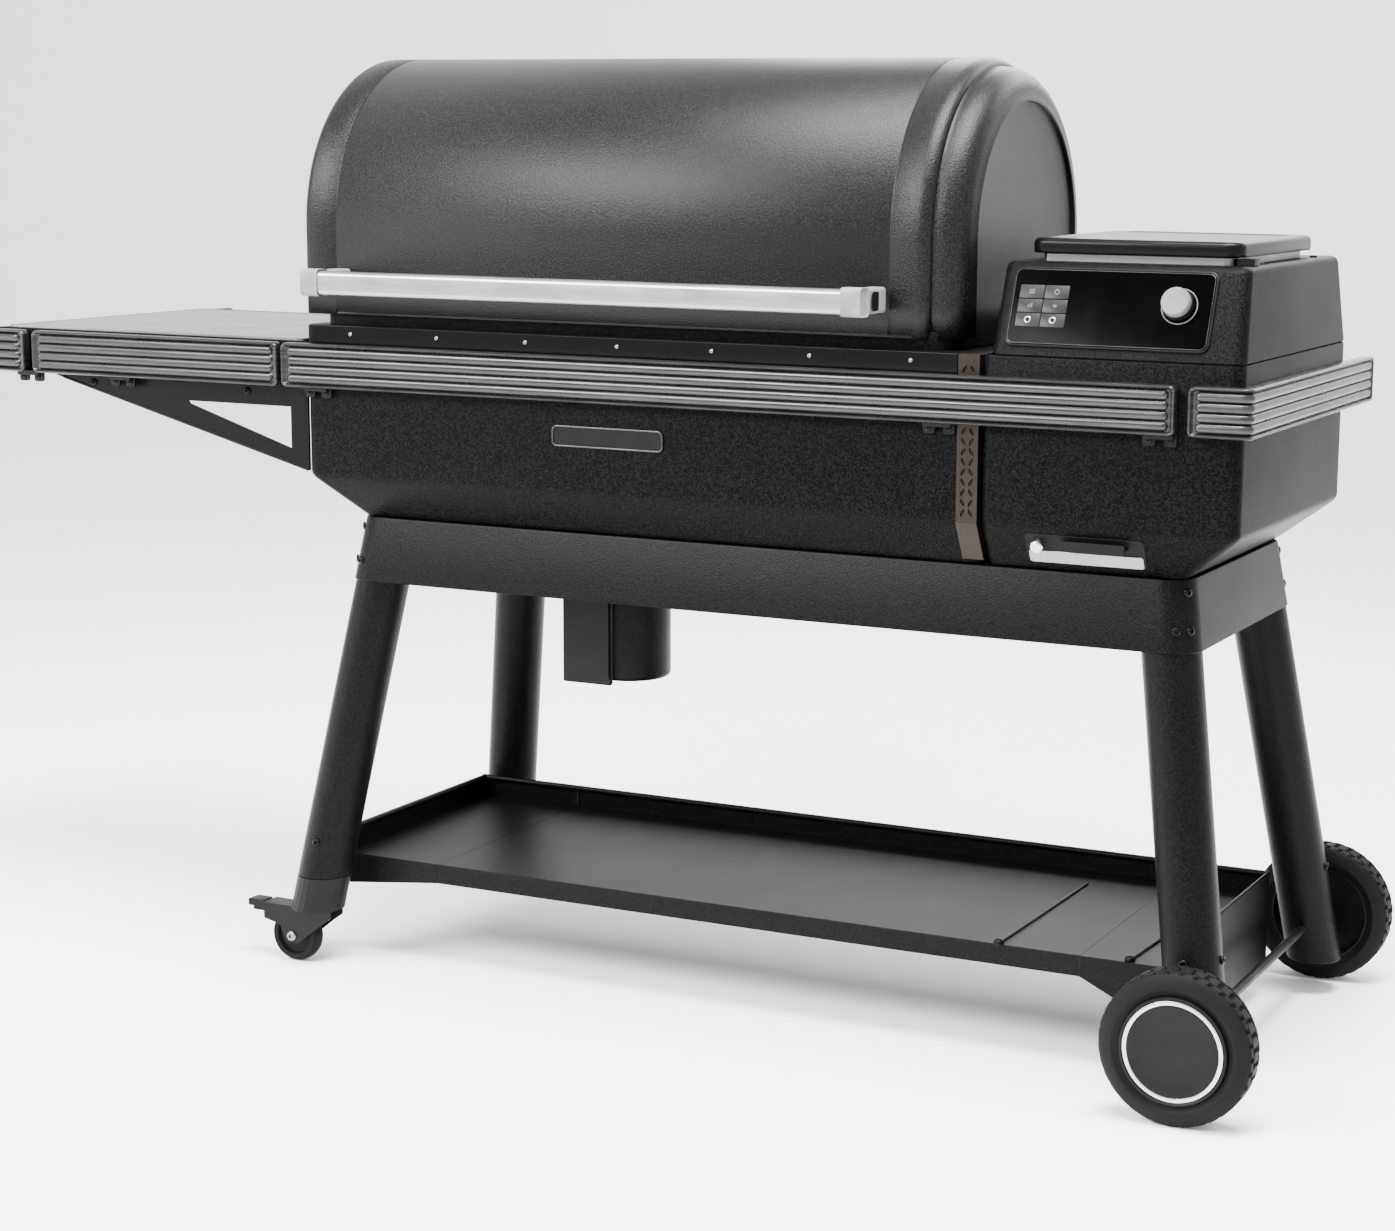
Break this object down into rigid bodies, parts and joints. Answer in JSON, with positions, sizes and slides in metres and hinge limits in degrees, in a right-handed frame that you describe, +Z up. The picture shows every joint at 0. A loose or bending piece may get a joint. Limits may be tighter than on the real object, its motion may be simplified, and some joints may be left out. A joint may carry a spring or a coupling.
{
  "type": "pellet smoker grill",
  "caption": "Barrel-lidded pellet smoker on four splayed legs, with hopper, control panel, ribbed accessory rails, side shelf, lower shelf, wheels and casters.",
  "frame": {"origin": "on the ground under the middle of the overall box", "axes": "+X from the side shelf to the hopper, -Y towards the cook, +Z up"},
  "size_m": [1.894, 0.688, 1.219],
  "materials": {
    "black_paint": "textured powder coat",
    "satin_black": "satin powder coat",
    "gunmetal": "dark anodised",
    "handle_metal": "brushed",
    "shelf_steel": "brushed",
    "cast_grey": "matt grey",
    "bronze": "metallic bronze",
    "panel_glass": "glossy",
    "tyre_rubber": "moulded tread",
    "caster_rubber": "smooth",
    "black_plastic": "fine grain",
    "bare_steel": "dull",
    "grate_enamel": "enamelled",
    "motor_case": "satin"
  },
  "bodies": {
    "grill": {"apron_frame": "black_paint", "leg_front_left": "black_paint", "leg_front_right": "black_paint", "leg_rear_left": "black_paint", "leg_rear_right": "black_paint", "chamber_tub": "black_paint", "hopper_cabinet": "black_paint", "control_hood": "black_paint", "caster_socket_front": "satin_black", "caster_socket_rear": "satin_black", "lower_shelf_left": "satin_black", "lower_shelf_centre": "satin_black", "lower_shelf_right": "satin_black", "front_fascia": "satin_black", "side_shelf_frame": "satin_black", "shelf_bracket_front": "satin_black", "shelf_bracket_rear": "satin_black", "rail_main": "gunmetal", "rail_side_shelf": "gunmetal", "rail_corner_left": "gunmetal", "rail_corner_right": "gunmetal", "side_shelf_top": "shelf_steel", "vent_strip": "bronze", "control_glass": "panel_glass", "axle": "bare_steel", "body_hinge_left": "bare_steel", "body_hinge_right": "bare_steel", "drip_tray": "bare_steel", "fire_pot": "bare_steel", "hopper_bin": "bare_steel", "auger_motor": "motor_case"},
    "lid": {"lid_shell": "black_paint", "lid_end_left": "black_paint", "lid_end_right": "black_paint", "handle_bar": "handle_metal", "handle_block_left": "cast_grey", "handle_block_right": "cast_grey", "lid_hinge_left": "bare_steel", "lid_hinge_right": "bare_steel"},
    "hopper_lid": {"hopper_lid": "black_paint"},
    "knob_shaft": {"knob_shaft": "black_plastic"},
    "knob": {"knob": "cast_grey"},
    "rocker_switch": {"rocker_switch": "black_plastic"},
    "wheel_front": {"tyre_front": "tyre_rubber", "hub_front": "black_plastic"},
    "wheel_rear": {"tyre_rear": "tyre_rubber", "hub_rear": "black_plastic"},
    "caster_fork_front": {"caster_fork_front": "satin_black"},
    "caster_fork_rear": {"caster_fork_rear": "satin_black"},
    "caster_wheel_front": {"caster_wheel_front": "caster_rubber"},
    "caster_wheel_rear": {"caster_wheel_rear": "caster_rubber"},
    "brake_pedal_front": {"brake_pedal_front": "black_plastic"},
    "brake_pedal_rear": {"brake_pedal_rear": "black_plastic"},
    "grease_keg": {"grease_keg": "satin_black", "keg_handle": "black_plastic"},
    "main_grate": {"main_grate": "grate_enamel"},
    "upper_rack": {"upper_rack": "grate_enamel"},
    "auger": {"auger": "bare_steel"},
    "fan": {"fan": "bare_steel"},
    "clean_out_lever": {"clean_out_lever": "black_plastic"}
  },
  "joints": [
    {"name": "lid_hinge", "type": "hinge", "parent": "grill", "child": "lid", "pos_m": [0, 0.237, 0.884], "axis": [-1, 0, 0], "range_deg": [0, 85]},
    {"name": "hopper_lid_hinge", "type": "hinge", "parent": "grill", "child": "hopper_lid", "pos_m": [0.71791, 0.157, 0.9863], "axis": [-1, 0, 0], "range_deg": [0, 100]},
    {"name": "knob_press", "type": "slide", "parent": "grill", "child": "knob_shaft", "axis": [0, 0.9231, -0.3846], "range_m": [0, 0.0015], "stiffness_N_per_m": 1500},
    {"name": "knob_spin", "type": "hinge", "parent": "knob_shaft", "child": "knob", "pos_m": [0.79011, -0.20329, 0.9317], "axis": [0, -0.9231, 0.3846], "continuous": true},
    {"name": "rocker_tilt", "type": "hinge", "parent": "grill", "child": "rocker_switch", "pos_m": [0.77511, 0.229, 0.76], "axis": [1, 0, 0], "range_deg": [0, 14]},
    {"name": "wheel_front_spin", "type": "hinge", "parent": "grill", "child": "wheel_front", "pos_m": [0.8543, -0.319, 0.0927], "axis": [0, 1, 0], "continuous": true},
    {"name": "wheel_rear_spin", "type": "hinge", "parent": "grill", "child": "wheel_rear", "pos_m": [0.8543, 0.319, 0.0927], "axis": [0, 1, 0], "continuous": true},
    {"name": "caster_front_swivel", "type": "hinge", "parent": "grill", "child": "caster_fork_front", "pos_m": [-0.39211, -0.24958, 0.079], "axis": [0, 0, 1], "continuous": true},
    {"name": "caster_front_roll", "type": "hinge", "parent": "caster_fork_front", "child": "caster_wheel_front", "pos_m": [-0.42611, -0.24958, 0.0366], "axis": [0, 1, 0], "continuous": true},
    {"name": "brake_front_press", "type": "hinge", "parent": "caster_fork_front", "child": "brake_pedal_front", "pos_m": [-0.46721, -0.24958, 0.0666], "axis": [0, -1, 0], "range_deg": [0, 15]},
    {"name": "caster_rear_swivel", "type": "hinge", "parent": "grill", "child": "caster_fork_rear", "pos_m": [-0.39211, 0.24958, 0.079], "axis": [0, 0, 1], "continuous": true},
    {"name": "caster_rear_roll", "type": "hinge", "parent": "caster_fork_rear", "child": "caster_wheel_rear", "pos_m": [-0.42611, 0.24958, 0.0366], "axis": [0, 1, 0], "continuous": true},
    {"name": "brake_rear_press", "type": "hinge", "parent": "caster_fork_rear", "child": "brake_pedal_rear", "pos_m": [-0.46721, 0.24958, 0.0666], "axis": [0, -1, 0], "range_deg": [0, 15]},
    {"name": "keg_unhook", "type": "slide", "parent": "grill", "child": "grease_keg", "axis": [0, 0, 1], "range_m": [0, 0.012]},
    {"name": "main_grate_lift", "type": "slide", "parent": "grill", "child": "main_grate", "axis": [0, 0, 1], "range_m": [0, 0.025]},
    {"name": "upper_rack_lift", "type": "slide", "parent": "main_grate", "child": "upper_rack", "axis": [0, 0, 1], "range_m": [0, 0.06]},
    {"name": "auger_spin", "type": "hinge", "parent": "grill", "child": "auger", "pos_m": [0.15111, 0, 0.668], "axis": [1, 0, 0], "continuous": true},
    {"name": "fan_spin", "type": "hinge", "parent": "grill", "child": "fan", "pos_m": [0.60591, 0.125, 0.725], "axis": [1, 0, 0], "continuous": true},
    {"name": "clean_out_pull", "type": "slide", "parent": "grill", "child": "clean_out_lever", "axis": [0, -1, 0], "range_m": [0, 0.02]}
  ]
}
